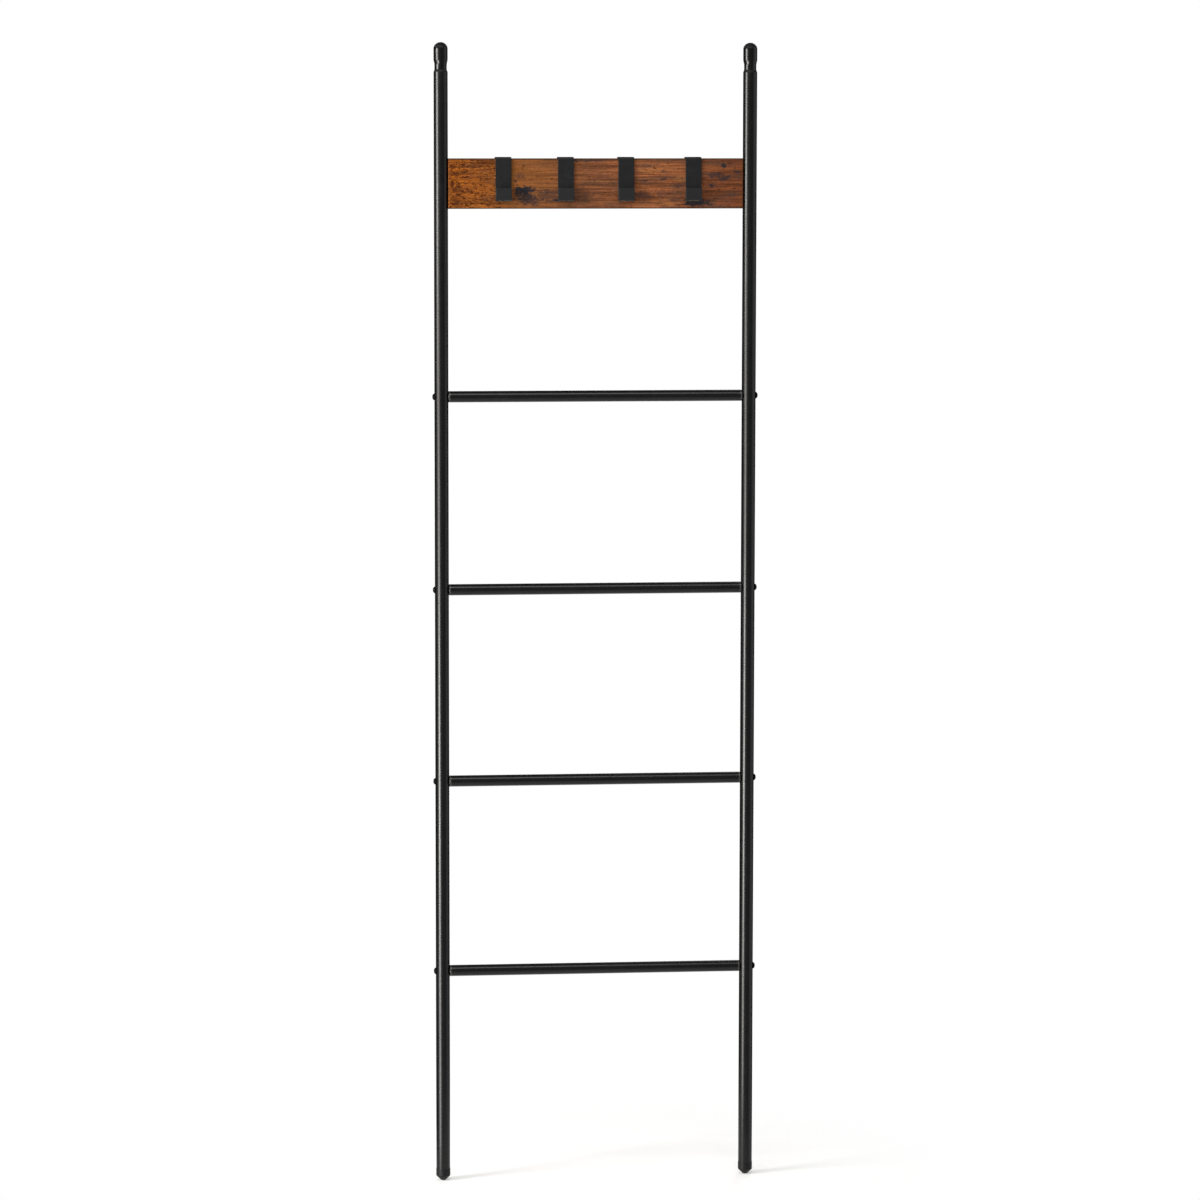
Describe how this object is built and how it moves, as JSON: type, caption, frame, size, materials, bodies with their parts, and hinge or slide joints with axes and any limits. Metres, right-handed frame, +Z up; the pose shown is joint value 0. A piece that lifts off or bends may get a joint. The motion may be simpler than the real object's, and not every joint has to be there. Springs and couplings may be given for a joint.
{
  "type": "towel ladder",
  "caption": "Leaning towel ladder: black tube legs with moulded caps and feet, round bolted rungs, and a wood-look board that carries loose sliding strip hooks.",
  "frame": {"origin": "on the floor midway between the two foot tips, in the plane of the leg axes", "axes": "+Z up along the legs, +X to the right as seen from the front, front towards -Y"},
  "size_m": [0.4666, 0.0316, 1.639],
  "materials": {
    "black_tube": "satin black powder coat",
    "black_moulding": "satin moulded plastic",
    "foot_moulding": "moulded, lightly textured",
    "rung_plug": "moulded, smooth",
    "black_bolt": "black oxide",
    "board_face": "wood-look laminate with fine level grain",
    "board_edging": "dark brown edging strip",
    "black_tab": "satin black powder coat",
    "zinc_screw": "zinc plated",
    "hook_strip": "matt black powder coat"
  },
  "bodies": {
    "frame": {"left_leg": "black_tube", "left_top_cap": "black_moulding", "left_foot": "foot_moulding", "left_board_tab": "black_tab", "board_left_edging": "board_edging", "right_leg": "black_tube", "right_top_cap": "black_moulding", "right_foot": "foot_moulding", "right_board_tab": "black_tab", "board_right_edging": "board_edging", "rung_1": "black_tube", "rung_1_left_plug": "rung_plug", "rung_1_right_plug": "rung_plug", "rung_2": "black_tube", "rung_2_left_plug": "rung_plug", "rung_2_right_plug": "rung_plug", "rung_3": "black_tube", "rung_3_left_plug": "rung_plug", "rung_3_right_plug": "rung_plug", "rung_4": "black_tube", "rung_4_left_plug": "rung_plug", "rung_4_right_plug": "rung_plug", "hook_board": "board_face", "board_top_edging": "board_edging", "board_bottom_edging": "board_edging", "rung_bolts": "black_bolt", "board_screws": "zinc_screw"},
    "hook_1": {"hook_1": "hook_strip"},
    "hook_2": {"hook_2": "hook_strip"},
    "hook_3": {"hook_3": "hook_strip"},
    "hook_4": {"hook_4": "hook_strip"}
  },
  "joints": [
    {"name": "hook_1_slide", "type": "slide", "parent": "frame", "child": "hook_1", "axis": [1, 0, 0], "range_m": [-0.045, 0.0328]},
    {"name": "hook_2_slide", "type": "slide", "parent": "frame", "child": "hook_2", "axis": [1, 0, 0], "range_m": [-0.0328, 0.0315]},
    {"name": "hook_3_slide", "type": "slide", "parent": "frame", "child": "hook_3", "axis": [1, 0, 0], "range_m": [-0.0315, 0.0366]},
    {"name": "hook_4_slide", "type": "slide", "parent": "frame", "child": "hook_4", "axis": [1, 0, 0], "range_m": [-0.0366, 0.0384]}
  ]
}
